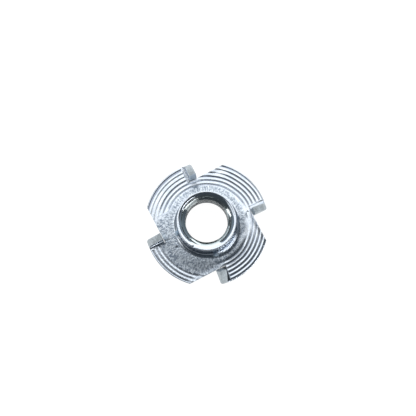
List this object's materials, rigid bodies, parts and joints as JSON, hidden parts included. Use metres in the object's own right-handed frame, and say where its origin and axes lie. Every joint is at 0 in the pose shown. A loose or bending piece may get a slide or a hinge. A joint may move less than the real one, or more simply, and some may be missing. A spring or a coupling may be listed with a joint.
{
  "type": "tee nut",
  "caption": "Pressed steel tee nut for wood: a round ringed flange with a threaded barrel, and prongs folded up from the flange's rim to hold it against turning.",
  "frame": {"origin": "on the thread's axis, at the flange's flat back face", "axes": "+Z along the barrel from the flange to the rim; the first prong stands 27 degrees from +X towards +Y"},
  "size_m": [0.0247, 0.0247, 0.013],
  "materials": {
    "zinc": "bright zinc plating with a slight blue tint, over pressed steel"
  },
  "bodies": {
    "root": {"tee_nut": "zinc"}
  },
  "joints": []
}
